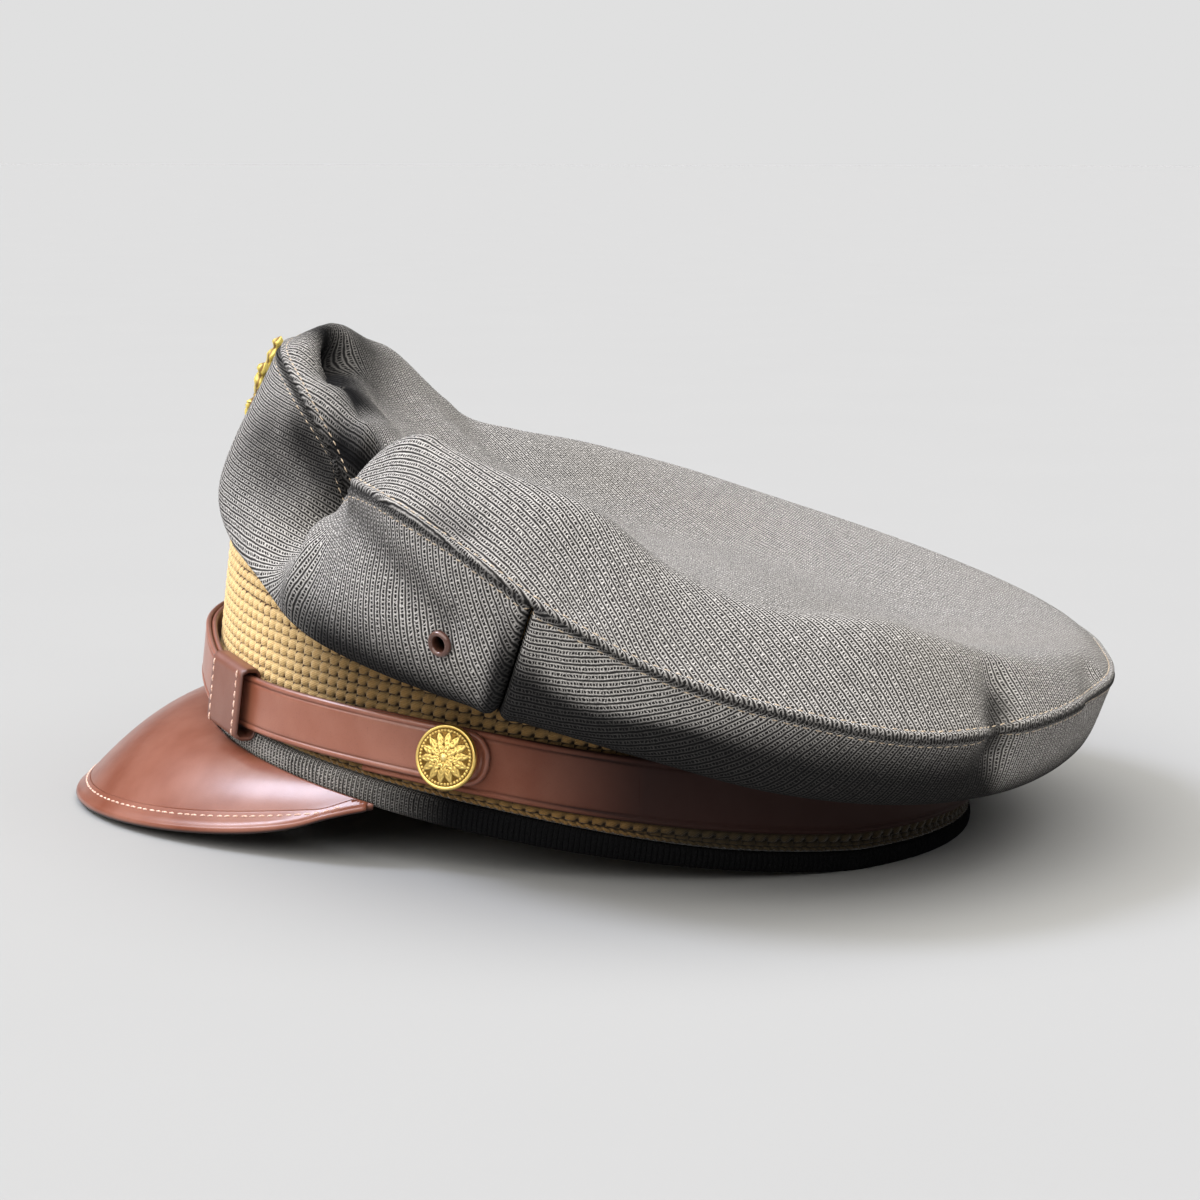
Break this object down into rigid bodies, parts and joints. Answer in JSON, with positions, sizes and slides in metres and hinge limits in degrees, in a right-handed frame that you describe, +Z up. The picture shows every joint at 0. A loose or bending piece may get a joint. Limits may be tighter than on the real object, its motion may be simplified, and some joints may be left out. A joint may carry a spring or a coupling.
{
  "type": "crusher cap",
  "caption": "Soft visor cap with a slumped cloth crown, woven band, leather visor and a two-part leather strap on side buttons, open below for the head.",
  "frame": {"origin": "on the surface that the cap stands on, under the middle of its box", "axes": "+Z up, -Y toward the visor, +X toward the wearer's left"},
  "size_m": [0.237, 0.2858, 0.1289],
  "materials": {
    "wool_cloth": "ribbed wool cloth, matt, grey-brown",
    "gold_braid": "knitted braid, tan and gold",
    "strap_leather": "polished russet leather, worn",
    "visor_leather": "polished russet leather, smooth",
    "gilt_brass": "gilt, stamped in relief",
    "brown_enamel": "brown enamel"
  },
  "bodies": {
    "root": {"crown_top": "wool_cloth", "crown_front": "wool_cloth", "crown_rear": "wool_cloth", "rim_binding": "wool_cloth", "band_braid": "gold_braid", "visor": "visor_leather", "visor_edge": "visor_leather", "strap_left": "strap_leather", "strap_right": "strap_leather", "strap_rear": "strap_leather", "keeper_left": "strap_leather", "keeper_right": "strap_leather", "button_left": "gilt_brass", "button_right": "gilt_brass", "badge": "gilt_brass", "eyelet_left": "brown_enamel", "eyelet_right": "brown_enamel"}
  },
  "joints": []
}
